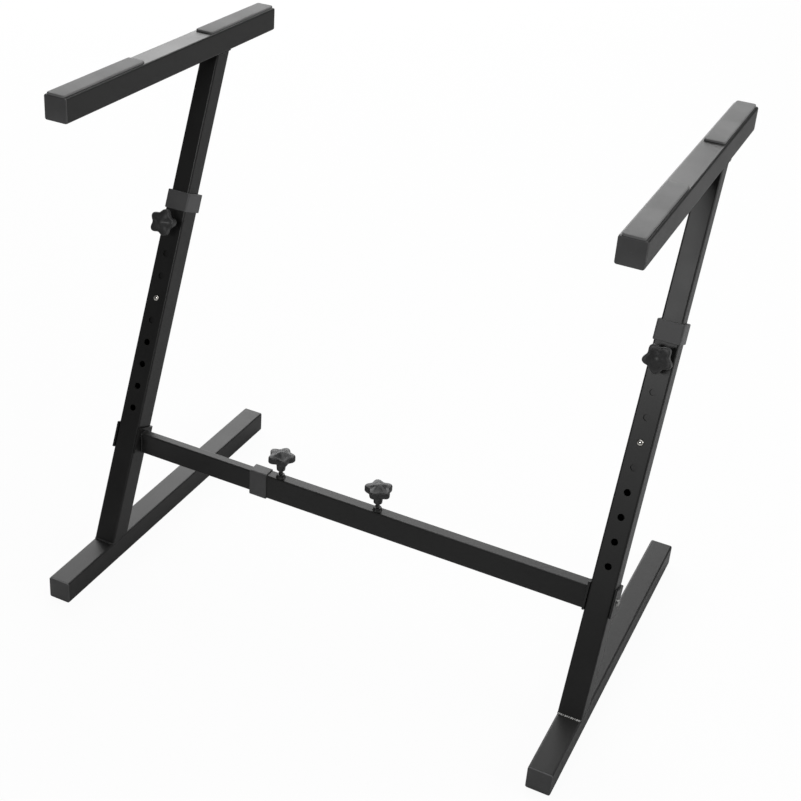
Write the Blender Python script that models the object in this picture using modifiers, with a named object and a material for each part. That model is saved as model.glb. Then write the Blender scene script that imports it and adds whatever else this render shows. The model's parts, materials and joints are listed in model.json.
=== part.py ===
"""Z-style keyboard stand: two side frames joined by a telescoping crossbar.

Metres, +Z up. X runs along the crossbar, with the right frame at +X, and Y runs from the feet's front
ends to the rear. The origin is on the floor, in the middle of the stand.
"""

import math

import bmesh
import bpy
from mathutils import Matrix

# Overall sizes
OVERALL_DEPTH = 0.575
FRAME_SPACING = 0.770
ARM_TOP = 0.784

# Clearance between pieces that touch, and the running clearance of a screw
GAP = 0.0003

# Square tubes of the side frames
FRAME_TUBE = 0.035
SLIDE_TUBE = 0.030
TUBE_WALL = 0.0015
TUBE_CORNER = 0.0025
CAP_THICKNESS = 0.0025
CAP_SPIGOT = 0.014
CAP_WALL = 0.0016

# Foot and arm
FOOT_LENGTH = 0.570
ARM_SETBACK = 0.042
PAD_WIDTH = 0.028
PAD_THICKNESS = 0.003
FRONT_PAD_LENGTH = 0.182
REAR_PAD_LENGTH = 0.1815

# Leaning upright, with lengths along its front face from the foot's top
LEAN = math.radians(22.5)
UPRIGHT_SETBACK = 0.114
LOWER_TUBE_TOP = 0.558
SLIDE_TUBE_END = 0.351
HOLE_RADIUS = 0.005
HOLE_COUNT = 8
HOLE_PITCH = 0.035
TOP_HOLE = 0.463
BUTTON_HOLE_INDEX = 2
CLAMP_SCREW_PLACE = 0.511
GUIDE_THICKNESS = 0.004

# Collars
COLLAR_LIP = 0.0022
COLLAR_LENGTH = 0.0285
UPRIGHT_COLLAR_FRONT = 0.0013
UPRIGHT_COLLAR_SIDE = 0.0019
UPRIGHT_COLLAR_REAR = 0.0035
BAR_COLLAR_PROUD = 0.0016

# Lock button and its leaf spring
BUTTON_RADIUS = 0.0045
BUTTON_PROUD = 0.0035
BUTTON_FLANGE_RADIUS = 0.0058
BUTTON_FLANGE = 0.001
SPRING_THICKNESS = 0.0006
SPRING_WIDTH = 0.012
SPRING_RISE = 0.040

# Screws, nuts and star knobs
SCREW_RADIUS = 0.003
SCREW_HOLE_RADIUS = 0.0033
NUT_HEIGHT = 0.005
NUT_RADIUS = 0.006
WELD_RADIUS = 0.0075
HUB_LENGTH = 0.0165
HUB_RADIUS = 0.0062
HUB_TOP_RADIUS = 0.0076
KNOB_HEAD = 0.0105
KNOB_MEAN_RADIUS = 0.0183
KNOB_LOBE_HEIGHT = 0.0026
KNOB_DOME_RADIUS = 0.0125
KNOB_DOME = 0.0048
KNOB_EDGE = 0.002
KNOB_LOBES = 5
KNOB_BORE = 0.010
UPRIGHT_KNOB_STANDOFF = 0.007
BAR_KNOB_STANDOFF = 0.013
RIGHT_KNOB_TURN = math.radians(-18)
LEFT_KNOB_TURN = math.radians(8)
BAR_KNOB_TURNS = (math.radians(20), math.radians(50))

# Crossbar
BAR_HEIGHT_ABOVE_FLOOR = 0.1835
BAR_SETBACK = 0.195
OUTER_BAR_HEIGHT = 0.040
OUTER_BAR_DEPTH = 0.018
INNER_BAR_HEIGHT = 0.035
INNER_BAR_DEPTH = 0.014
BAR_CORNER = 0.002
OUTER_BAR_OPEN_END = -0.165
INNER_BAR_HIDDEN_END = 0.130
BAR_SCREW_PLACES = (-0.120, 0.0405)

# Brackets that hold the crossbar
BRACKET_PLATE = 0.003
BRACKET_PLACE = 0.170
BRACKET_HEIGHT = 0.040
BRACKET_PROUD = 0.0008
BOLT_HEAD_RADIUS = 0.006
BOLT_HEAD = 0.0033
BRACKET_NUT_RADIUS = 0.0056

FRONT = -OVERALL_DEPTH / 2
ARM_LENGTH = OVERALL_DEPTH - ARM_SETBACK
ARM_BOTTOM = ARM_TOP - FRAME_TUBE
SIDES = {"right": 1, "left": -1}


def clear_scene():
    for obj in list(bpy.data.objects):
        bpy.data.objects.remove(obj, do_unlink=True)


def new_collection(name):
    collection = bpy.data.collections.new(name)
    bpy.context.scene.collection.children.link(collection)
    return collection


def material(name, colour, roughness, metallic):
    made = bpy.data.materials.new(name)
    made.use_nodes = True
    shader = made.node_tree.nodes["Principled BSDF"]
    shader.inputs["Base Color"].default_value = (*colour, 1)
    shader.inputs["Roughness"].default_value = roughness
    shader.inputs["Metallic"].default_value = metallic
    return made


clear_scene()
STAND = new_collection("keyboard_stand")
CUTTERS = new_collection("cutters")
FINISHES = {
    "steel": ((0.012, 0.012, 0.013), 0.45, 0.0),
    "plastic": ((0.018, 0.018, 0.019), 0.55, 0.0),
    "rubber": ((0.09, 0.09, 0.09), 0.8, 0.0),
    "nickel": ((0.75, 0.74, 0.70), 0.2, 1.0),
    "zinc": ((0.35, 0.35, 0.34), 0.4, 1.0),
}


def add(name, data, finish=None, parent=None, location=(0, 0, 0), rotation=(0, 0, 0)):
    """Places a piece, or a helper when it has no finish."""
    obj = bpy.data.objects.new(name, data)
    (STAND if finish else CUTTERS).objects.link(obj)
    obj.parent = parent
    obj.location = location
    obj.rotation_euler = rotation
    if finish:
        obj.data.materials.append(material(name + "_finish", *FINISHES[finish]))
    else:
        obj.hide_render = True
        obj.display_type = "WIRE"
    return obj


def empty(name, location, rotation=(0, 0, 0), parent=None):
    obj = bpy.data.objects.new(name, None)
    STAND.objects.link(obj)
    obj.parent = parent
    obj.location = location
    obj.rotation_euler = rotation
    return obj


def boolean(obj, other, operation):
    modifier = obj.modifiers.new(other.name, "BOOLEAN")
    modifier.operation = operation
    modifier.object = other


def rounded_rectangle(width, height, corner, steps=3, centre=(0, 0)):
    points = []
    for quarter, (sx, sy) in enumerate(((1, 1), (-1, 1), (-1, -1), (1, -1))):
        cx = centre[0] + sx * (width / 2 - corner)
        cy = centre[1] + sy * (height / 2 - corner)
        for step in range(steps + 1):
            angle = (quarter + step / steps) * math.pi / 2
            points.append((cx + corner * math.cos(angle), cy + corner * math.sin(angle)))
    return points


def extruded(name, outlines, length, edge=0.0):
    """A mesh of closed outlines in XY, from z = 0 to the length, with its rims chamfered by the edge."""
    curve = bpy.data.curves.new(name, "CURVE")
    curve.dimensions = "2D"
    curve.fill_mode = "BOTH"
    curve.extrude = length / 2 - edge
    curve.bevel_depth = edge
    curve.bevel_resolution = 0
    curve.offset = -edge
    for outline in outlines:
        spline = curve.splines.new("POLY")
        spline.points.add(len(outline) - 1)
        for point, (x, y) in zip(spline.points, outline):
            point.co = (x, y, 0, 1)
        spline.use_cyclic_u = True
    helper = bpy.data.objects.new(name, curve)
    CUTTERS.objects.link(helper)
    graph = bpy.context.evaluated_depsgraph_get()
    mesh = bpy.data.meshes.new_from_object(helper.evaluated_get(graph))
    bpy.data.objects.remove(helper, do_unlink=True)
    shaped = bmesh.new()
    shaped.from_mesh(mesh)
    bmesh.ops.remove_doubles(shaped, verts=shaped.verts, dist=0.00001)
    bmesh.ops.translate(shaped, verts=shaped.verts, vec=(0, 0, length / 2))
    bmesh.ops.recalc_face_normals(shaped, faces=shaped.faces)
    shaped.to_mesh(mesh)
    shaped.free()
    mesh.materials.clear()
    mesh.set_sharp_from_angle(angle=math.radians(30))
    mesh.shade_smooth()
    return mesh


def tube_mesh(name, width, height, length, corner=TUBE_CORNER):
    inner_corner = max(corner - TUBE_WALL, 0.0006)
    inner = (width - 2 * TUBE_WALL, height - 2 * TUBE_WALL, inner_corner)
    return extruded(name, [rounded_rectangle(width, height, corner), rounded_rectangle(*inner)], length)


def turned(name, profile, segments, closed=False):
    """A mesh turned about Z from a profile of points (radius, height)."""
    mesh = bpy.data.meshes.new(name)
    shaped = bmesh.new()
    points = [shaped.verts.new((radius, 0, height)) for radius, height in profile]
    pairs = list(zip(points, points[1:]))
    if closed:
        pairs.append((points[-1], points[0]))
    for pair in pairs:
        shaped.edges.new(pair)
    bmesh.ops.spin(
        shaped,
        geom=shaped.verts[:] + shaped.edges[:],
        cent=(0, 0, 0),
        axis=(0, 0, 1),
        angle=2 * math.pi,
        steps=segments,
        use_merge=True,
    )
    bmesh.ops.remove_doubles(shaped, verts=shaped.verts, dist=0.00001)
    bmesh.ops.recalc_face_normals(shaped, faces=shaped.faces)
    shaped.to_mesh(mesh)
    shaped.free()
    mesh.set_sharp_from_angle(angle=math.radians(35))
    mesh.shade_smooth()
    return mesh


def box_mesh(name, size, centre=(0, 0, 0), bevel=0.0, segments=2):
    mesh = bpy.data.meshes.new(name)
    shaped = bmesh.new()
    bmesh.ops.create_cube(shaped, size=1)
    bmesh.ops.scale(shaped, vec=size, verts=shaped.verts)
    bmesh.ops.translate(shaped, vec=centre, verts=shaped.verts)
    if bevel:
        bmesh.ops.bevel(
            shaped, geom=shaped.edges[:], offset=bevel, segments=segments, profile=0.5, affect="EDGES"
        )
    shaped.to_mesh(mesh)
    shaped.free()
    return mesh


def rod_mesh(name, radius, length, segments=14):
    """A plain cylinder along Z, centred."""
    mesh = bpy.data.meshes.new(name)
    shaped = bmesh.new()
    bmesh.ops.create_cone(
        shaped, cap_ends=True, segments=segments, radius1=radius, radius2=radius, depth=length
    )
    shaped.to_mesh(mesh)
    shaped.free()
    return mesh


def drill(target, name, radius, length, parent, location, rotation=(0, 0, 0)):
    boolean(target, add(name, rod_mesh(name, radius, length), None, parent, location, rotation), "DIFFERENCE")


ALONG_Y = (math.pi / 2, 0, 0)
ALONG_X = (0, math.pi / 2, 0)


def end_plug(name, tube, flange, thickness, corner, parent, location, rotation):
    """A plastic plug: a flange over the tube's end at z = 0 upwards, and a hollow spigot into the tube."""
    width, height = tube
    edge = min(thickness / 2.5, 0.0009)
    body = extruded(name, [rounded_rectangle(*flange, corner)], thickness, edge)
    plug = add(name, body, "plastic", parent, location, rotation)
    spigot_width = width - 2 * TUBE_WALL - 2 * GAP
    spigot_height = height - 2 * TUBE_WALL - 2 * GAP
    ring = [
        rounded_rectangle(spigot_width, spigot_height, 0.0012, 1),
        rounded_rectangle(spigot_width - 2 * CAP_WALL, spigot_height - 2 * CAP_WALL, 0.0006, 1),
    ]
    spigot_name = name + "_spigot"
    spigot_mesh = extruded(spigot_name, ring, CAP_SPIGOT + thickness / 2)
    spigot = add(spigot_name, spigot_mesh, None, plug, (0, 0, -CAP_SPIGOT))
    boolean(plug, spigot, "UNION")
    return plug


def collar(name, outer, outer_centre, tube, tube_corner, inner, inner_centre, parent, location, rotation):
    """A guide sleeve, z = 0 at its skirt's end: a skirt outside the outer tube, a lip over the tube's end
    and a liner between the tubes."""
    shell = extruded(name, [rounded_rectangle(*outer, tube_corner, 3, outer_centre)], COLLAR_LENGTH, 0.0007)
    sleeve = add(name, shell, "plastic", parent, location, rotation)
    hole_size = (inner[0] + 2 * GAP, inner[1] + 2 * GAP)
    hole_mesh = extruded(
        name + "_hole", [rounded_rectangle(*hole_size, tube_corner, 3, inner_centre)], COLLAR_LENGTH + 0.01
    )
    hole = add(name + "_hole", hole_mesh, None, sleeve, (0, 0, -0.005))
    boolean(sleeve, hole, "DIFFERENCE")
    seat = (tube[0] + 2 * GAP, tube[1] + 2 * GAP)
    liner = (tube[0] - 2 * TUBE_WALL - 2 * GAP, tube[1] - 2 * TUBE_WALL - 2 * GAP)
    ring = [
        rounded_rectangle(*seat, tube_corner + GAP),
        rounded_rectangle(*liner, tube_corner - TUBE_WALL + GAP),
    ]
    groove_mesh = extruded(name + "_groove", ring, COLLAR_LENGTH - COLLAR_LIP + 0.005)
    groove = add(name + "_groove", groove_mesh, None, sleeve, (0, 0, -0.005))
    boolean(sleeve, groove, "DIFFERENCE")
    return sleeve


def star_outline(points_per_lobe=8):
    """The knob's outline: round lobes that meet in valleys."""
    count = KNOB_LOBES * points_per_lobe
    outline = []
    for index in range(count):
        angle = 2 * math.pi * index / count
        radius = KNOB_MEAN_RADIUS + KNOB_LOBE_HEIGHT * math.cos(KNOB_LOBES * angle)
        outline.append((radius * math.cos(angle), radius * math.sin(angle)))
    return outline


def star_knob(name, parent, location, rotation):
    """Star knob with its hub's free end at z = 0 and its screw's bore along Z."""
    head = extruded(name, [star_outline()], KNOB_HEAD, KNOB_EDGE)
    raised = bmesh.new()
    raised.from_mesh(head)
    bmesh.ops.translate(raised, verts=raised.verts, vec=(0, 0, HUB_LENGTH))
    raised.to_mesh(head)
    raised.free()
    knob = add(name, head, "plastic", parent, location, rotation)
    top = HUB_LENGTH + KNOB_HEAD
    profile = [(0, top + KNOB_DOME)]
    for step in range(1, 5):
        angle = math.pi / 2 * step / 5
        profile.append((KNOB_DOME_RADIUS * math.sin(angle), top + KNOB_DOME * math.cos(angle)))
    profile += [
        (KNOB_DOME_RADIUS, top - 0.001),
        (KNOB_DOME_RADIUS, HUB_LENGTH + 0.004),
        (HUB_TOP_RADIUS, HUB_LENGTH + 0.003),
        (HUB_TOP_RADIUS, HUB_LENGTH - 0.001),
        (HUB_RADIUS, 0),
        (SCREW_HOLE_RADIUS, 0),
        (SCREW_HOLE_RADIUS, KNOB_BORE),
        (0, KNOB_BORE),
    ]
    core = add(name + "_core", turned(name + "_core", profile, 14), None, knob)
    boolean(knob, core, "UNION")
    return knob


def screw(name, length, parent, location, rotation):
    profile = [
        (0, length),
        (SCREW_RADIUS - 0.0005, length),
        (SCREW_RADIUS, length - 0.0005),
        (SCREW_RADIUS, 0.0005),
        (SCREW_RADIUS - 0.0005, 0),
        (0, 0),
    ]
    return add(name, turned(name, profile, 12), "zinc", parent, location, rotation)


def weld_nut(name, parent, location, rotation):
    profile = [
        (SCREW_HOLE_RADIUS, NUT_HEIGHT),
        (NUT_RADIUS - 0.0006, NUT_HEIGHT),
        (NUT_RADIUS, NUT_HEIGHT - 0.0006),
        (NUT_RADIUS, 0.0022),
        (WELD_RADIUS, 0),
        (SCREW_HOLE_RADIUS, 0),
    ]
    return add(name, turned(name, profile, 14, closed=True), "steel", parent, location, rotation)


def clamp(prefix, suffix, standoff, reach, turn, root, location, rotation):
    """A weld nut, its screw and its star knob, on a face whose outward normal is local Z."""
    axis = empty(f"{prefix}_clamp{suffix}", location, rotation, root)
    weld_nut(f"{prefix}_weld_nut{suffix}", axis, (0, 0, GAP), (0, 0, 0))
    tip = GAP - reach
    end = standoff + KNOB_BORE - GAP
    screw(f"{prefix}_stud{suffix}", end - tip, axis, (0, 0, tip), (0, 0, 0))
    star_knob(f"{prefix}_knob{suffix}", axis, (0, 0, standoff), (0, 0, turn))
    return axis


def foot(side, x):
    tube_length = FOOT_LENGTH - 2 * (CAP_THICKNESS + GAP)
    z = FRAME_TUBE / 2
    start = FRONT + CAP_THICKNESS + GAP
    add(
        f"{side}_foot_tube",
        tube_mesh("foot", FRAME_TUBE, FRAME_TUBE, tube_length),
        "steel",
        None,
        (x, start + tube_length, z),
        ALONG_Y,
    )
    size = (FRAME_TUBE, FRAME_TUBE)
    ends = {"front": (start - GAP, math.pi / 2), "rear": (start + tube_length + GAP, -math.pi / 2)}
    for end, (y, turn) in ends.items():
        end_plug(
            f"{side}_foot_cap_{end}", size, size, CAP_THICKNESS, TUBE_CORNER, None, (x, y, z), (turn, 0, 0)
        )


def lower_upright(side, frame):
    """The outer tube, cut level at the foot, with the height holes in its front wall."""
    below = FRAME_TUBE
    centre = FRAME_TUBE / 2
    name = f"{side}_lower_upright"
    mesh = tube_mesh(name, FRAME_TUBE, FRAME_TUBE, LOWER_TUBE_TOP + below)
    tube = add(name, mesh, "steel", frame, (0, centre, -below))
    cutter_size = 0.2
    floor = add(
        name + "_level_cut",
        box_mesh(name + "_level_cut", (cutter_size, cutter_size, cutter_size)),
        None,
        None,
        (frame.location.x, frame.location.y, FRAME_TUBE + GAP - cutter_size / 2),
    )
    boolean(tube, floor, "DIFFERENCE")
    for index in range(HOLE_COUNT):
        place = TOP_HOLE - index * HOLE_PITCH
        drill(tube, f"{name}_hole_{index + 1}", HOLE_RADIUS, 0.006, frame, (0, 0, place), ALONG_Y)
    drill(tube, name + "_screw_hole", SCREW_HOLE_RADIUS, 0.006, frame, (0, 0, CLAMP_SCREW_PLACE), ALONG_Y)
    drill(
        tube,
        name + "_bolt_hole",
        SCREW_HOLE_RADIUS,
        2 * FRAME_TUBE,
        frame,
        (0, centre, BRACKET_PLACE),
        ALONG_X,
    )


def upright_collar(side, frame):
    skirt_end = LOWER_TUBE_TOP + GAP + COLLAR_LIP - COLLAR_LENGTH
    outer = (
        FRAME_TUBE + 2 * UPRIGHT_COLLAR_SIDE,
        FRAME_TUBE + UPRIGHT_COLLAR_FRONT + UPRIGHT_COLLAR_REAR,
    )
    shift = (UPRIGHT_COLLAR_REAR - UPRIGHT_COLLAR_FRONT) / 2
    collar(
        f"{side}_upright_collar",
        outer,
        (0, shift),
        (FRAME_TUBE, FRAME_TUBE),
        TUBE_CORNER,
        (SLIDE_TUBE, SLIDE_TUBE),
        (0, 0),
        frame,
        (0, FRAME_TUBE / 2, skirt_end),
        (0, 0, 0),
    )


def upper_upright(side, frame, world_x, button_place):
    """The inner tube, cut level under the arm."""
    centre = FRAME_TUBE / 2
    name = f"{side}_upper_upright"
    rise = (ARM_BOTTOM - FRAME_TUBE) / math.cos(LEAN)
    length = rise + FRAME_TUBE - SLIDE_TUBE_END
    mesh = tube_mesh(name, SLIDE_TUBE, SLIDE_TUBE, length)
    tube = add(name, mesh, "steel", frame, (0, centre, SLIDE_TUBE_END))
    cutter_size = 0.3
    top = add(
        name + "_level_cut",
        box_mesh(name + "_level_cut", (cutter_size, cutter_size, cutter_size)),
        None,
        None,
        (world_x, FRONT + UPRIGHT_SETBACK + rise * math.sin(LEAN), ARM_BOTTOM - GAP + cutter_size / 2),
    )
    boolean(tube, top, "DIFFERENCE")
    face = centre - SLIDE_TUBE / 2
    drill(tube, name + "_button_hole", BUTTON_RADIUS + GAP, 0.006, frame, (0, face, button_place), ALONG_Y)
    end_plug(
        f"{side}_upright_guide",
        (SLIDE_TUBE, SLIDE_TUBE),
        (FRAME_TUBE - 2 * TUBE_WALL - 2 * GAP,) * 2,
        GUIDE_THICKNESS,
        TUBE_CORNER - TUBE_WALL + GAP,
        frame,
        (0, centre, SLIDE_TUBE_END - GAP),
        (math.pi, 0, 0),
    )


def lock_button(side, frame, button_place):
    """The snap button, with its leaf spring bent in a V behind it."""
    inner_wall = (FRAME_TUBE - SLIDE_TUBE) / 2 + TUBE_WALL
    flange_front = inner_wall + GAP
    height = BUTTON_PROUD + flange_front + BUTTON_FLANGE
    shoulder = height - 0.002
    profile = [(0, height)]
    for step in range(1, 4):
        angle = math.pi / 2 * step / 4
        profile.append((BUTTON_RADIUS * math.sin(angle), shoulder + 0.002 * math.cos(angle)))
    profile += [
        (BUTTON_RADIUS, shoulder),
        (BUTTON_RADIUS, BUTTON_FLANGE),
        (BUTTON_FLANGE_RADIUS, BUTTON_FLANGE),
        (BUTTON_FLANGE_RADIUS, 0),
        (0, 0),
    ]
    name = f"{side}_lock_button"
    back = flange_front + BUTTON_FLANGE
    add(name, turned(name, profile, 14), "nickel", frame, (0, back, button_place), ALONG_Y)

    near = back + GAP + SPRING_THICKNESS / 2
    far = inner_wall + SLIDE_TUBE - 2 * TUBE_WALL - GAP - SPRING_THICKNESS
    middle = near + 0.004
    path = [(near, -0.008), (near, SPRING_RISE)]
    for step in range(1, 6):
        angle = math.pi * step / 6
        path.append((middle - 0.004 * math.cos(angle), SPRING_RISE + 0.004 * math.sin(angle)))
    path.append((middle + 0.004, SPRING_RISE))
    path.append((far, -0.004))
    mesh = bpy.data.meshes.new(f"{side}_button_spring")
    shaped = bmesh.new()
    line = [shaped.verts.new((-SPRING_WIDTH / 2, y, z)) for y, z in path]
    edges = [shaped.edges.new(pair) for pair in zip(line, line[1:])]
    strip = bmesh.ops.extrude_edge_only(shaped, edges=edges)
    moved = [item for item in strip["geom"] if isinstance(item, bmesh.types.BMVert)]
    bmesh.ops.translate(shaped, verts=moved, vec=(SPRING_WIDTH, 0, 0))
    shaped.to_mesh(mesh)
    shaped.free()
    spring = add(f"{side}_button_spring", mesh, "zinc", frame, (0, 0, button_place))
    solid = spring.modifiers.new("thickness", "SOLIDIFY")
    solid.thickness = SPRING_THICKNESS
    solid.offset = 0


def arm(side, x):
    start = FRONT + ARM_SETBACK + CAP_THICKNESS + GAP
    tube_length = ARM_LENGTH - 2 * (CAP_THICKNESS + GAP)
    z = ARM_BOTTOM + FRAME_TUBE / 2
    mesh = tube_mesh("arm", FRAME_TUBE, FRAME_TUBE, tube_length)
    add(f"{side}_arm_tube", mesh, "steel", None, (x, start + tube_length, z), ALONG_Y)
    size = (FRAME_TUBE, FRAME_TUBE)
    ends = {"front": (start - GAP, math.pi / 2), "rear": (start + tube_length + GAP, -math.pi / 2)}
    for end, (y, turn) in ends.items():
        end_plug(
            f"{side}_arm_cap_{end}", size, size, CAP_THICKNESS, TUBE_CORNER, None, (x, y, z), (turn, 0, 0)
        )
    pads = {
        "front": (FRONT + ARM_SETBACK, FRONT_PAD_LENGTH),
        "rear": (OVERALL_DEPTH / 2 - REAR_PAD_LENGTH, REAR_PAD_LENGTH),
    }
    for end, (y, length) in pads.items():
        name = f"{side}_arm_pad_{end}"
        mesh = extruded(name, [rounded_rectangle(PAD_WIDTH, length, 0.002)], PAD_THICKNESS, 0.0008)
        add(name, mesh, "rubber", None, (x, y + length / 2, ARM_TOP + GAP))


def bracket(side, sign, frame):
    """A saddle round the back and both sides of the tube, with its bolt through the tube."""
    half = FRAME_TUBE / 2 + GAP
    outside = half + BRACKET_PLATE
    back = FRAME_TUBE + GAP
    bend = BRACKET_PLATE + 0.0005
    outline = [(half, -BRACKET_PROUD), (outside, -BRACKET_PROUD)]
    for step in range(5):
        angle = math.pi / 2 * step / 4
        reach = back + BRACKET_PLATE - bend
        outline.append((outside - bend + bend * math.cos(angle), reach + bend * math.sin(angle)))
    outline += [(-x, y) for x, y in reversed(outline)]
    outline += [(-half, back), (half, back)]
    name = f"{side}_crossbar_bracket"
    mesh = extruded(name, [outline], BRACKET_HEIGHT)
    saddle = add(name, mesh, "steel", frame, (0, 0, BRACKET_PLACE - BRACKET_HEIGHT / 2))
    centre = FRAME_TUBE / 2
    drill(
        saddle, name + "_bolt_hole", SCREW_HOLE_RADIUS, 0.1, frame, (0, centre, BRACKET_PLACE), ALONG_X
    )
    outer_face = outside + GAP
    bar_end = outside + GAP
    shank = outer_face + bar_end + NUT_HEIGHT + 0.001
    profile = [
        (0, BOLT_HEAD),
        (BOLT_HEAD_RADIUS * 0.5, BOLT_HEAD * 0.9),
        (BOLT_HEAD_RADIUS * 0.85, BOLT_HEAD * 0.55),
        (BOLT_HEAD_RADIUS, 0),
        (SCREW_RADIUS, 0),
        (SCREW_RADIUS, -shank),
        (0, -shank),
    ]
    bolt = f"{side}_bracket_bolt"
    turn = (0, sign * math.pi / 2, 0)
    add(bolt, turned(bolt, profile, 12), "zinc", frame, (sign * outer_face, centre, BRACKET_PLACE), turn)
    nut = f"{side}_bracket_nut"
    # The bore has six sides too, so its corners lie outside the screw hole's circle
    bore = SCREW_HOLE_RADIUS / math.cos(math.pi / 6)
    nut_profile = [
        (bore, 0),
        (BRACKET_NUT_RADIUS, 0),
        (BRACKET_NUT_RADIUS, -NUT_HEIGHT),
        (bore, -NUT_HEIGHT),
    ]
    hexagon = turned(nut, nut_profile, 6, closed=True)
    # Two of the nut's flats face the crossbar's front and rear walls
    hexagon.transform(Matrix.Rotation(sign * LEAN, 4, "Z"))
    add(nut, hexagon, "zinc", frame, (-sign * bar_end, centre, BRACKET_PLACE), turn)


def side_frame(side, sign):
    x = sign * FRAME_SPACING / 2
    frame = empty(f"{side}_upright_axis", (x, FRONT + UPRIGHT_SETBACK, FRAME_TUBE), (-LEAN, 0, 0))
    button_place = TOP_HOLE - BUTTON_HOLE_INDEX * HOLE_PITCH
    foot(side, x)
    lower_upright(side, frame)
    upright_collar(side, frame)
    upper_upright(side, frame, x, button_place)
    lock_button(side, frame, button_place)
    arm(side, x)
    bracket(side, sign, frame)
    turn = RIGHT_KNOB_TURN if sign > 0 else LEFT_KNOB_TURN
    slide_face = (FRAME_TUBE - SLIDE_TUBE) / 2
    clamp(
        f"{side}_upright",
        "",
        UPRIGHT_KNOB_STANDOFF,
        slide_face,
        turn,
        frame,
        (0, 0, CLAMP_SCREW_PLACE),
        ALONG_Y,
    )


def crossbar():
    """The telescoping bar, with its tubes along X and their heights along Z."""
    y = FRONT + BAR_SETBACK
    z = BAR_HEIGHT_ABOVE_FLOOR
    end = FRAME_SPACING / 2 - FRAME_TUBE / 2 - BRACKET_PLATE - 2 * GAP
    # Local X of a tube's outline is the bar's height, and local Z runs along the bar
    along = (0, math.pi / 2, 0)
    outer_size = (OUTER_BAR_HEIGHT, OUTER_BAR_DEPTH)
    inner_size = (INNER_BAR_HEIGHT, INNER_BAR_DEPTH)
    outer_mesh = tube_mesh("crossbar_outer", *outer_size, end - OUTER_BAR_OPEN_END, BAR_CORNER)
    outer = add("crossbar_outer", outer_mesh, "steel", None, (OUTER_BAR_OPEN_END, y, z), along)
    inner_mesh = tube_mesh("crossbar_inner", *inner_size, INNER_BAR_HIDDEN_END + end, BAR_CORNER)
    add("crossbar_inner", inner_mesh, "steel", None, (-end, y, z), along)
    end_plug(
        "crossbar_guide",
        inner_size,
        (OUTER_BAR_HEIGHT - 2 * TUBE_WALL - 2 * GAP, OUTER_BAR_DEPTH - 2 * TUBE_WALL - 2 * GAP),
        GUIDE_THICKNESS,
        0.0008,
        None,
        (INNER_BAR_HIDDEN_END + GAP, y, z),
        along,
    )
    collar_outer = (OUTER_BAR_HEIGHT + 2 * BAR_COLLAR_PROUD, OUTER_BAR_DEPTH + 2 * BAR_COLLAR_PROUD)
    bar_collar(collar_outer, outer_size, inner_size, y, z)
    top = z + OUTER_BAR_HEIGHT / 2
    reach = (OUTER_BAR_HEIGHT - INNER_BAR_HEIGHT) / 2
    for index, x in enumerate(BAR_SCREW_PLACES):
        suffix = "_left" if index == 0 else "_right"
        drill(outer, f"crossbar_outer_screw_hole{suffix}", SCREW_HOLE_RADIUS, 0.006, None, (x, y, top))
        clamp(
            "crossbar",
            suffix,
            BAR_KNOB_STANDOFF,
            reach,
            BAR_KNOB_TURNS[index],
            None,
            (x, y, top),
            (0, 0, 0),
        )


def bar_collar(outer, tube, inner, y, z):
    """The sleeve on the outer bar's open end, its lip towards the left frame."""
    # The bar's side gap is narrower than its top gap, so the liner is at the top and bottom only
    name = "crossbar_collar"
    skirt_end = OUTER_BAR_OPEN_END - GAP - COLLAR_LIP + COLLAR_LENGTH
    shell = extruded(name, [rounded_rectangle(*outer, TUBE_CORNER)], COLLAR_LENGTH, 0.0007)
    sleeve = add(name, shell, "plastic", None, (skirt_end, y, z), (0, -math.pi / 2, 0))
    hole_outline = rounded_rectangle(inner[0] + 2 * GAP, inner[1] + 2 * GAP, BAR_CORNER)
    hole_mesh = extruded(name + "_hole", [hole_outline], COLLAR_LENGTH + 0.01)
    boolean(sleeve, add(name + "_hole", hole_mesh, None, sleeve, (0, 0, -0.005)), "DIFFERENCE")
    seat_outline = rounded_rectangle(tube[0] + 2 * GAP, tube[1] + 2 * GAP, BAR_CORNER + GAP)
    seat_mesh = extruded(name + "_seat", [seat_outline], COLLAR_LENGTH - COLLAR_LIP + 0.005)
    boolean(sleeve, add(name + "_seat", seat_mesh, None, sleeve, (0, 0, -0.005)), "DIFFERENCE")


for side_name, side_sign in SIDES.items():
    side_frame(side_name, side_sign)
crossbar()
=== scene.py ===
import json
import math

import bmesh
import bpy
from mathutils import Matrix, Vector


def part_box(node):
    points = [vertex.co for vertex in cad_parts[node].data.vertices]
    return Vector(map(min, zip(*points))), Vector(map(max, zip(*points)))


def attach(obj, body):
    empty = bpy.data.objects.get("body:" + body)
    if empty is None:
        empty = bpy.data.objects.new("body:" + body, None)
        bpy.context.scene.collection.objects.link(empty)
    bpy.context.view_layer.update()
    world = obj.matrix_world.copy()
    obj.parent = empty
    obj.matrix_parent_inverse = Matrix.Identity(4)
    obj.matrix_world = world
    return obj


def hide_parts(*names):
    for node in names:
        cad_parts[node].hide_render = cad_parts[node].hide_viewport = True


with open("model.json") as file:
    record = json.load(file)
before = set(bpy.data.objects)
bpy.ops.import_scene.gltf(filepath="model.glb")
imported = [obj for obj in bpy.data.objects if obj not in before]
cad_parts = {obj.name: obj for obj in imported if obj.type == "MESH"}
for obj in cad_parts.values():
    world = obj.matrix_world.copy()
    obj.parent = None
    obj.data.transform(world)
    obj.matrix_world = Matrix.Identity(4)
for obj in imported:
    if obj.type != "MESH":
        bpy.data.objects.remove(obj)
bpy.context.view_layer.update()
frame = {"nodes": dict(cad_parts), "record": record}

# Sizes that the looks repeat from the stand, in metres
SIDES = {"right": 1, "left": -1}
LEAN = math.radians(22.5)
FRONT = -0.2875
UPRIGHT_SETBACK = 0.114
FRAME_TUBE = 0.035
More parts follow.
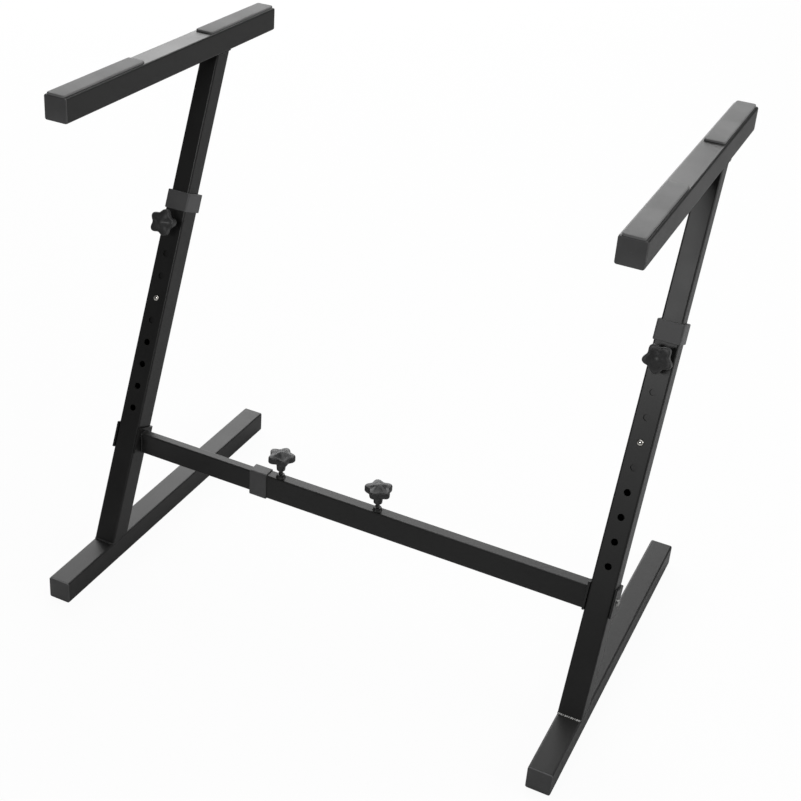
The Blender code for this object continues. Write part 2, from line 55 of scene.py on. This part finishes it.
SLIDE_TUBE = 0.030
TUBE_STEP = 0.0025
FRAME_HALF_SPACING = 0.385
ARM_BOTTOM = 0.749
BAR_TOP = 0.2035
BAR_MIDDLE = 0.1835
BAR_Y = FRONT + 0.195
BAR_END = 0.3639

# Clamps: the places of their screws, and how far each knob stands off its tube
CLAMP_SCREW_PLACE = 0.511
BAR_SCREW_PLACES = {"left": -0.120, "right": 0.0405}
UPRIGHT_KNOB_STANDOFF = 0.007
BAR_KNOB_STANDOFF = 0.013
UPRIGHT_KNOB_TURNS = {"right": math.radians(-18), "left": math.radians(8)}
BAR_KNOB_TURNS = {"left": math.radians(20), "right": math.radians(50)}
SCREW_RADIUS = 0.003
SCREW_REACH = 0.0022
SCREW_IN_KNOB = 0.0097
THREAD_PITCH = 0.001
THREAD_DEPTH = 0.00045

# Star knob
KNOB_HUB = 0.0165
KNOB_HEAD = 0.0105
KNOB_MEAN_RADIUS = 0.0183
KNOB_LOBE_HEIGHT = 0.0026
KNOB_DOME = 0.0048
KNOB_EDGE = 0.0026
KNOB_LOBES = 5
HUB_PROFILE = [
    (0.0086, KNOB_HUB + 0.001),
    (0.0076, KNOB_HUB - 0.0015),
    (0.0064, 0.0006),
    (0.0060, 0),
    (0.0032, 0),
]

# Pads and end plugs
PAD_CORNER = 0.004
PAD_EDGE = 0.0014
CAP_THICKNESS = 0.0025
CAP_CORNER = 0.0028
CAP_EDGE = 0.0011
CAP_MARK = [(0, CAP_THICKNESS), (0.0012, CAP_THICKNESS), (0.0016, CAP_THICKNESS - 0.0003)]

# Lock button: a domed pin on a flange
BUTTON_PLACE = 0.393
BUTTON_TOP = 0.0035
BUTTON_RADIUS = 0.0045
BUTTON_DOME = 0.0026
BUTTON_FLANGE = [(BUTTON_RADIUS, -0.0043), (0.0058, -0.0043), (0.0058, -0.0053), (0, -0.0053)]

# Weld beads, and half the height and depth of the bead round each end of the crossbar
BEAD_RADIUS = 0.0022
BAR_BEAD_RADIUS = 0.0018
BEAD_PITCH = 0.0028
BEAD_INSET = 0.0018
BEAD_LIFT = 0.0002
BAR_BEAD_BACK = 0.0004
BAR_BEAD_HALVES = {"right": (0.019, 0.0085), "left": (0.0165, 0.0065)}

# The photograph's camera, from the fit of the stand's edges: degrees, metres and pixels
CAMERA_ANGLES = (-23.8802, -27.4730, 4.2490)
CAMERA_SPOT = (0.7162, -1.6314, 1.4042)
IMAGE_WIDTH = 801
FOCAL_PX = 1413.885
CENTRE_PX = (388.65, 309.59)
SENSOR_WIDTH = 36

# Studio: the strength of white seen by the camera, and the light that the sky gives
WHITE = 1.05
SKY_LIGHT = 0.10
FLOOR_HALF = 6
FLOOR_DROP = 0.0005
FLOOR_GREY = 0.5
FLOOR_WHITE_SHARE = 0.9
# Name, place, target, size in metres and power in watts
PANELS = [
    ("back panel", (-3.4, 4.2, 2.6), (0, 0, 0.5), (7, 3.4), 245),
    ("top panel", (0.5, 1.0, 3.2), (0, 0.4, 0.3), (3, 3), 44),
    ("right panel", (3.2, 0.6, 1.5), (0.6, 1.2, 0), (2, 2), 40),
    ("front panel", (0.0, -2.2, 1.45), (0.385, 0, 0.7), (0.7, 0.25), 11),
]

# Finishes: scale of the broad shades, where they start and end, and the depth of the grain
SHADE_SCALE = 14
SHADE_RANGE = (0.3, 0.75)
GRAIN_DEPTH = 0.0002
SHARP_ANGLE = math.radians(38)


def principled(name, colour, roughness, metallic=0.0, grain=900.0, bump=0.05, spread=0.06, tone=0.25):
    """A finish: broad noise varies its colour and roughness, and fine noise raises its surface a little."""
    made = bpy.data.materials.new(name)
    made.use_nodes = True
    nodes, links = made.node_tree.nodes, made.node_tree.links
    shader = nodes["Principled BSDF"]
    shader.inputs["Metallic"].default_value = metallic
    place = nodes.new("ShaderNodeTexCoord")
    fine = nodes.new("ShaderNodeTexNoise")
    fine.inputs["Scale"].default_value = grain
    fine.inputs["Detail"].default_value = 3
    broad = nodes.new("ShaderNodeTexNoise")
    broad.inputs["Scale"].default_value = SHADE_SCALE
    broad.inputs["Detail"].default_value = 5
    links.new(place.outputs["Object"], fine.inputs["Vector"])
    links.new(place.outputs["Object"], broad.inputs["Vector"])
    shades = nodes.new("ShaderNodeValToRGB")
    for element, position, factor in zip(shades.color_ramp.elements, SHADE_RANGE, (1 - tone, 1 + tone)):
        element.position = position
        element.color = (*(c * factor for c in colour), 1)
    links.new(broad.outputs["Fac"], shades.inputs["Fac"])
    links.new(shades.outputs["Color"], shader.inputs["Base Color"])
    rough = nodes.new("ShaderNodeMapRange")
    rough.inputs["To Min"].default_value = roughness - spread
    rough.inputs["To Max"].default_value = roughness + spread
    links.new(broad.outputs["Fac"], rough.inputs["Value"])
    links.new(rough.outputs["Result"], shader.inputs["Roughness"])
    raised = nodes.new("ShaderNodeBump")
    raised.inputs["Strength"].default_value = bump
    raised.inputs["Distance"].default_value = GRAIN_DEPTH
    links.new(fine.outputs["Fac"], raised.inputs["Height"])
    links.new(raised.outputs["Normal"], shader.inputs["Normal"])
    return made


FINISHES = {
    "powder_coat": principled("powder coat", (0.0095, 0.0095, 0.0092), 0.40, bump=0.12),
    "black_plastic": principled("black plastic", (0.085, 0.085, 0.086), 0.48, grain=1400, bump=0.1),
    "knob_plastic": principled("knob plastic", (0.036, 0.036, 0.0365), 0.42, grain=1400, bump=0.1),
    "pad_rubber": principled("pad rubber", (0.20, 0.20, 0.20), 0.7, grain=1100, bump=0.35, spread=0.08),
    "nickel": principled("nickel", (0.80, 0.78, 0.73), 0.16, 1.0, bump=0.02, spread=0.03, tone=0.05),
    "zinc_steel": principled("zinc steel", (0.42, 0.42, 0.41), 0.32, 1.0, bump=0.1),
    "blackened": principled("blackened screw", (0.05, 0.05, 0.048), 0.36, 0.8, bump=0.1),
    "weld": principled("weld bead", (0.03, 0.03, 0.03), 0.34, 0.3, grain=260, bump=0.6),
}


def paint_frame():
    """Every shown solid takes the finish of its slot in the record."""
    for entry in frame["record"]["subparts"]:
        obj = frame["nodes"][entry["node"]]
        obj.data.materials.clear()
        obj.data.materials.append(FINISHES[entry["material_slot"]])


def piece(name, shaped, finish, matrix, body, stands_for=()):
    """Makes an object of a bmesh in the row frame, riding on a body."""
    name = name.replace(" ", "_") + "_look"
    mesh = bpy.data.meshes.new(name)
    shaped.normal_update()
    shaped.to_mesh(mesh)
    shaped.free()
    mesh.set_sharp_from_angle(angle=SHARP_ANGLE)
    obj = bpy.data.objects.new(name, mesh)
    bpy.context.scene.collection.objects.link(obj)
    obj.matrix_world = matrix
    mesh.materials.append(FINISHES[finish])
    if stands_for:
        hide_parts(*stands_for)
    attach(obj, body)
    return obj


def smooth(shaped):
    """Turns every face outward and shades it smooth."""
    bmesh.ops.recalc_face_normals(shaped, faces=shaped.faces)
    for face in shaped.faces:
        face.smooth = True


def turned(shaped, profile, segments):
    """Adds a turned surface about Z, from points (radius, height)."""
    points = [shaped.verts.new((radius, 0, height)) for radius, height in profile]
    edges = [shaped.edges.new(pair) for pair in zip(points, points[1:])]
    bmesh.ops.spin(
        shaped,
        geom=points + edges,
        cent=(0, 0, 0),
        axis=(0, 0, 1),
        angle=2 * math.pi,
        steps=segments,
        use_merge=True,
    )
    bmesh.ops.remove_doubles(shaped, verts=shaped.verts, dist=0.000005)


def stacked(shaped, rings):
    """Joins closed rings of equal count, bottom to top, and closes both ends."""
    rows = [[shaped.verts.new(point) for point in ring] for ring in rings]
    for low, high in zip(rows, rows[1:]):
        for index in range(len(low)):
            after = (index + 1) % len(low)
            shaped.faces.new((low[index], low[after], high[after], high[index]))
    shaped.faces.new(list(reversed(rows[0])))
    shaped.faces.new(rows[-1])


def rounded_rectangle(width, height, corner, steps=6):
    """Points (x, y) round a rectangle about the origin, its corners rounded in steps."""
    points = []
    for quarter, (sx, sy) in enumerate(((1, 1), (-1, 1), (-1, -1), (1, -1))):
        cx = sx * (width / 2 - corner)
        cy = sy * (height / 2 - corner)
        for step in range(steps + 1):
            angle = (quarter + step / steps) * math.pi / 2
            points.append((cx + corner * math.cos(angle), cy + corner * math.sin(angle)))
    return points


def soft_slab(shaped, width, height, thickness, corner, edge, steps=5):
    """A slab from z = 0 up, with rounded corners and a rounded upper rim."""
    rings = [[(x, y, 0) for x, y in rounded_rectangle(width, height, corner)]]
    for step in range(steps + 1):
        angle = math.pi / 2 * step / steps
        inset = edge * (1 - math.cos(angle))
        z = thickness - edge + edge * math.sin(angle)
        outline = rounded_rectangle(width - 2 * inset, height - 2 * inset, max(corner - inset, 0.0004))
        rings.append([(x, y, z) for x, y in outline])
    stacked(shaped, rings)


def knob_ring(inset, z, roundness=0.0):
    """One level of the knob's head: the star drawn in by the inset, and rounder towards the middle."""
    count = 24 * KNOB_LOBES
    row = []
    for index in range(count):
        angle = 2 * math.pi * index / count
        lobed = KNOB_MEAN_RADIUS + KNOB_LOBE_HEIGHT * math.cos(KNOB_LOBES * angle)
        radius = lobed * (1 - roundness) + KNOB_MEAN_RADIUS * roundness - inset
        row.append((radius * math.cos(angle), radius * math.sin(angle), z))
    return row


def knob_mesh(steps=5, levels=10):
    """Star knob: a tapered hub, and a five-lobed head whose top swells to a low dome."""
    shaped = bmesh.new()
    rings = []
    for step in range(steps + 1):
        angle = math.pi / 2 * step / steps
        inset = KNOB_EDGE * (1 - math.sin(angle))
        rings.append(knob_ring(inset, KNOB_HUB + KNOB_EDGE * (1 - math.cos(angle))))
    rim = KNOB_HUB + KNOB_HEAD
    for step in range(steps + 1):
        angle = math.pi / 2 * step / steps
        inset = KNOB_EDGE * (1 - math.cos(angle))
        rings.append(knob_ring(inset, rim - KNOB_EDGE + KNOB_EDGE * math.sin(angle)))
    for step in range(1, levels):
        share = step / levels
        inset = KNOB_EDGE + (KNOB_MEAN_RADIUS - KNOB_EDGE) * share
        swell = math.sin(math.pi / 2 * share) ** 2
        rings.append(knob_ring(inset, rim + KNOB_DOME * swell, min(1, 1.4 * share)))
    stacked(shaped, rings)
    turned(shaped, HUB_PROFILE, 40)
    smooth(shaped)
    return shaped


def thread_mesh(length):
    """A screw with a rolled thread's ridges."""
    shaped = bmesh.new()
    root = SCREW_RADIUS - THREAD_DEPTH
    profile = [(0, 0), (root, 0)]
    for turn in range(int(length / THREAD_PITCH)):
        base = turn * THREAD_PITCH
        profile.append((root, base + 0.1 * THREAD_PITCH))
        profile.append((SCREW_RADIUS, base + 0.45 * THREAD_PITCH))
        profile.append((SCREW_RADIUS, base + 0.6 * THREAD_PITCH))
    profile += [(root, length), (0, length)]
    turned(shaped, profile, 24)
    smooth(shaped)
    return shaped


def upright_place(x, s, depth, turn=0.0):
    """Matrix whose Z points out of the leaning upright's front face, and whose Y points up along it."""
    along = Vector((0, math.sin(LEAN), math.cos(LEAN)))
    back = Vector((0, math.cos(LEAN), -math.sin(LEAN)))
    spot = Vector((x, FRONT + UPRIGHT_SETBACK, FRAME_TUBE)) + s * along + depth * back
    basis = Matrix.Rotation(-LEAN, 4, "X") @ Matrix.Rotation(math.pi / 2, 4, "X")
    return Matrix.Translation(spot) @ basis @ Matrix.Rotation(turn, 4, "Z")


def clamp(name, body, standoff, screw_matrix, knob_matrix, screw_node, knob_node):
    """A clamp's screw and knob, each on its own body."""
    screw = thread_mesh(standoff + SCREW_IN_KNOB + SCREW_REACH)
    screw_body = f"{body}_clamp_screw"
    piece(f"{name} screw", screw, "blackened", screw_matrix, screw_body, [screw_node])
    knob_body = f"{body}_clamp_knob"
    piece(f"{name} knob", knob_mesh(), "knob_plastic", knob_matrix, knob_body, [knob_node])


def clamps():
    """The clamps of the two uprights and the two of the crossbar."""
    for side, sign in SIDES.items():
        x = sign * FRAME_HALF_SPACING
        clamp(
            f"{side} upright",
            side,
            UPRIGHT_KNOB_STANDOFF,
            upright_place(x, CLAMP_SCREW_PLACE, SCREW_REACH),
            upright_place(x, CLAMP_SCREW_PLACE, -UPRIGHT_KNOB_STANDOFF, UPRIGHT_KNOB_TURNS[side]),
            f"{side}_upright_stud",
            f"{side}_upright_knob",
        )
    for end, x in BAR_SCREW_PLACES.items():
        spot = Vector((x, BAR_Y, BAR_TOP))
        raised = Matrix.Translation(spot + Vector((0, 0, BAR_KNOB_STANDOFF)))
        clamp(
            f"bar {end}",
            f"bar_{end}",
            BAR_KNOB_STANDOFF,
            Matrix.Translation(spot - Vector((0, 0, SCREW_REACH))),
            raised @ Matrix.Rotation(BAR_KNOB_TURNS[end], 4, "Z"),
            f"crossbar_stud_{end}",
            f"crossbar_knob_{end}",
        )


def pads():
    """Rubber pads on the arms, with rounded corners and rims."""
    for side in SIDES:
        for end in ("front", "rear"):
            node = f"{side}_arm_pad_{end}"
            low, high = (Vector(corner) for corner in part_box(node))
            shaped = bmesh.new()
            size = high - low
            soft_slab(shaped, size.x, size.y, size.z, PAD_CORNER, PAD_EDGE)
            smooth(shaped)
            spot = Matrix.Translation(((low.x + high.x) / 2, (low.y + high.y) / 2, low.z))
            pad = piece(
                f"{side} {end} pad", shaped, "pad_rubber", spot, f"{side}_arm", [node]
            )


def cap(node, outward, body):
    """An end plug with a rounded rim and a small round moulding mark, facing along Y."""
    low, high = (Vector(corner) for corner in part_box(node))
    shaped = bmesh.new()
    width = FRAME_TUBE - 0.0002
    soft_slab(shaped, width, width, CAP_THICKNESS - 0.0001, CAP_CORNER, CAP_EDGE)
    turned(shaped, CAP_MARK, 24)
    smooth(shaped)
    y = low.y + CAP_THICKNESS if outward < 0 else high.y - CAP_THICKNESS
    spot = Matrix.Translation(((low.x + high.x) / 2, y, (low.z + high.z) / 2))
    turn = Matrix.Rotation(-outward * math.pi / 2, 4, "X")
    piece(node, shaped, "black_plastic", spot @ turn, body, [node])


def caps():
    """The end plugs of the feet and the arms."""
    for side in SIDES:
        for part, body in (("foot", "frame"), ("arm", "arm")):
            for end, outward in (("front", -1), ("rear", 1)):
                cap(f"{side}_{part}_cap_{end}", outward, f"{side}_{body}")


def buttons():
    """The lock buttons, each with a domed end and a flange inside the tube."""
    for side, sign in SIDES.items():
        shaped = bmesh.new()
        profile = [(0, BUTTON_TOP)]
        for step in range(1, 11):
            angle = math.pi / 2 * step / 10
            height = BUTTON_TOP - BUTTON_DOME + BUTTON_DOME * math.cos(angle)
            profile.append((BUTTON_RADIUS * math.sin(angle), height))
        profile += BUTTON_FLANGE
        turned(shaped, profile, 32)
        smooth(shaped)
        spot = upright_place(sign * FRAME_HALF_SPACING, BUTTON_PLACE, 0)
        node = f"{side}_lock_button"
        piece(f"{side} button", shaped, "nickel", spot, f"{side}_button", [node])


def bead(name, corners, body, radius=BEAD_RADIUS, finish="weld"):
    """A weld bead: overlapping ripples along a closed or open run of corners."""
    shaped = bmesh.new()
    ripple = 0
    for start, end in zip(corners, corners[1:]):
        run = Vector(end) - Vector(start)
        count = max(2, round(run.length / BEAD_PITCH))
        for index in range(count):
            spot = Vector(start) + run * (index + 0.5) / count
            size = radius * (1 + 0.12 * math.sin(2.3 * ripple) + 0.08 * math.sin(5.1 * ripple))
            shape = Matrix.Translation(spot) @ Matrix.Diagonal((size, size, size * 0.8, 1))
            bmesh.ops.create_icosphere(shaped, subdivisions=2, radius=1, matrix=shape)
            ripple += 1
    smooth(shaped)
    piece(name, shaped, finish, Matrix.Identity(4), body)


def level_ring(x, half, front, depth, z):
    """Corners of a level rectangle, from the front left to the rear left."""
    back = front + depth
    return [(x - half, front, z), (x + half, front, z), (x + half, back, z), (x - half, back, z)]


def welds():
    """Beads round each upright on the foot and under the arm, and round the crossbar's ends."""
    for side, sign in SIDES.items():
        x = sign * FRAME_HALF_SPACING
        y = FRONT + UPRIGHT_SETBACK
        half = FRAME_TUBE / 2 - BEAD_INSET
        ring = level_ring(x, half, y, FRAME_TUBE / math.cos(LEAN), FRAME_TUBE + BEAD_LIFT)
        # The front run of the right frame's foot weld takes a bright metal finish: a painted highlight
        # standing in for the glints there
        front_finish = "zinc_steel" if side == "right" else "weld"
        bead(f"{side} foot weld front", ring[:2], f"{side}_frame", finish=front_finish)
        bead(f"{side} foot weld", ring[1:] + ring[:1], f"{side}_frame")
        rise = ARM_BOTTOM - FRAME_TUBE
        front = y + rise * math.tan(LEAN) + TUBE_STEP / math.cos(LEAN)
        depth = SLIDE_TUBE / math.cos(LEAN)
        ring = level_ring(x, SLIDE_TUBE / 2, front, depth, ARM_BOTTOM - BEAD_LIFT)
        bead(f"{side} arm weld", ring + ring[:1], f"{side}_arm")
        tall, deep = BAR_BEAD_HALVES[side]
        end = sign * (BAR_END - BAR_BEAD_BACK)
        ring = [
            (end, BAR_Y - deep, BAR_MIDDLE - tall),
            (end, BAR_Y - deep, BAR_MIDDLE + tall),
            (end, BAR_Y + deep, BAR_MIDDLE + tall),
            (end, BAR_Y + deep, BAR_MIDDLE - tall),
        ]
        bead(f"{side} crossbar weld", ring + ring[:1], f"{side}_frame", BAR_BEAD_RADIUS)


def camera():
    """The photograph's camera."""
    azimuth, elevation, roll = (math.radians(angle) for angle in CAMERA_ANGLES)
    level = math.cos(elevation)
    ahead = Vector((math.sin(azimuth) * level, math.cos(azimuth) * level, math.sin(elevation)))
    right = Vector((math.cos(azimuth), -math.sin(azimuth), 0))
    up = right.cross(ahead)
    across = math.cos(roll) * right + math.sin(roll) * up
    upward = -math.sin(roll) * right + math.cos(roll) * up
    data = bpy.data.cameras.new("camera")
    data.sensor_width = SENSOR_WIDTH
    data.lens = FOCAL_PX / IMAGE_WIDTH * data.sensor_width
    data.shift_x = (IMAGE_WIDTH / 2 - CENTRE_PX[0]) / IMAGE_WIDTH
    data.shift_y = (CENTRE_PX[1] - IMAGE_WIDTH / 2) / IMAGE_WIDTH
    obj = bpy.data.objects.new("camera", data)
    bpy.context.scene.collection.objects.link(obj)
    turn = Matrix((across, upward, -ahead)).transposed().to_4x4()
    obj.matrix_world = Matrix.Translation(CAMERA_SPOT) @ turn
    bpy.context.scene.camera = obj


def panel(name, spot, target, size, power):
    """A rectangular light at a spot, facing a target."""
    data = bpy.data.lights.new(name, "AREA")
    data.shape = "RECTANGLE"
    data.size, data.size_y = size
    data.energy = power
    obj = bpy.data.objects.new(name, data)
    bpy.context.scene.collection.objects.link(obj)
    obj.location = spot
    obj.rotation_euler = (Vector(target) - Vector(spot)).to_track_quat("-Z", "Y").to_euler()


def white_floor():
    """A grey floor that looks nearly white to the camera."""
    shaped = bmesh.new()
    bmesh.ops.create_grid(shaped, x_segments=1, y_segments=1, size=FLOOR_HALF)
    mesh = bpy.data.meshes.new("floor")
    shaped.to_mesh(mesh)
    shaped.free()
    floor = bpy.data.objects.new("floor", mesh)
    floor.location = (0, 0, -FLOOR_DROP)
    bpy.context.scene.collection.objects.link(floor)
    made = bpy.data.materials.new("floor")
    made.use_nodes = True
    nodes, links = made.node_tree.nodes, made.node_tree.links
    shader = nodes["Principled BSDF"]
    shader.inputs["Base Color"].default_value = (FLOOR_GREY, FLOOR_GREY, FLOOR_GREY, 1)
    shader.inputs["Roughness"].default_value = 0.9
    glow = nodes.new("ShaderNodeEmission")
    glow.inputs["Strength"].default_value = WHITE
    seen = nodes.new("ShaderNodeLightPath")
    share = nodes.new("ShaderNodeMath")
    share.operation = "MULTIPLY"
    share.inputs[1].default_value = FLOOR_WHITE_SHARE
    mixed = nodes.new("ShaderNodeMixShader")
    links.new(seen.outputs["Is Camera Ray"], share.inputs[0])
    links.new(share.outputs[0], mixed.inputs["Fac"])
    links.new(shader.outputs[0], mixed.inputs[1])
    links.new(glow.outputs[0], mixed.inputs[2])
    links.new(mixed.outputs[0], nodes["Material Output"].inputs["Surface"])
    mesh.materials.append(made)


def white_sky():
    """A sky that looks white to the camera and lights the stand only weakly."""
    world = bpy.data.worlds.new("studio")
    world.use_nodes = True
    bpy.context.scene.world = world
    nodes, links = world.node_tree.nodes, world.node_tree.links
    sky = nodes["Background"]
    sky.inputs["Color"].default_value = (1, 1, 1, 1)
    seen = nodes.new("ShaderNodeLightPath")
    level = nodes.new("ShaderNodeMapRange")
    level.inputs["To Min"].default_value = SKY_LIGHT
    level.inputs["To Max"].default_value = WHITE
    links.new(seen.outputs["Is Camera Ray"], level.inputs["Value"])
    links.new(level.outputs["Result"], sky.inputs["Strength"])


paint_frame()
clamps()
pads()
caps()
buttons()
welds()
camera()
white_floor()
white_sky()
for settings in PANELS:
    panel(*settings)
bpy.context.scene.view_settings.view_transform = "Standard"
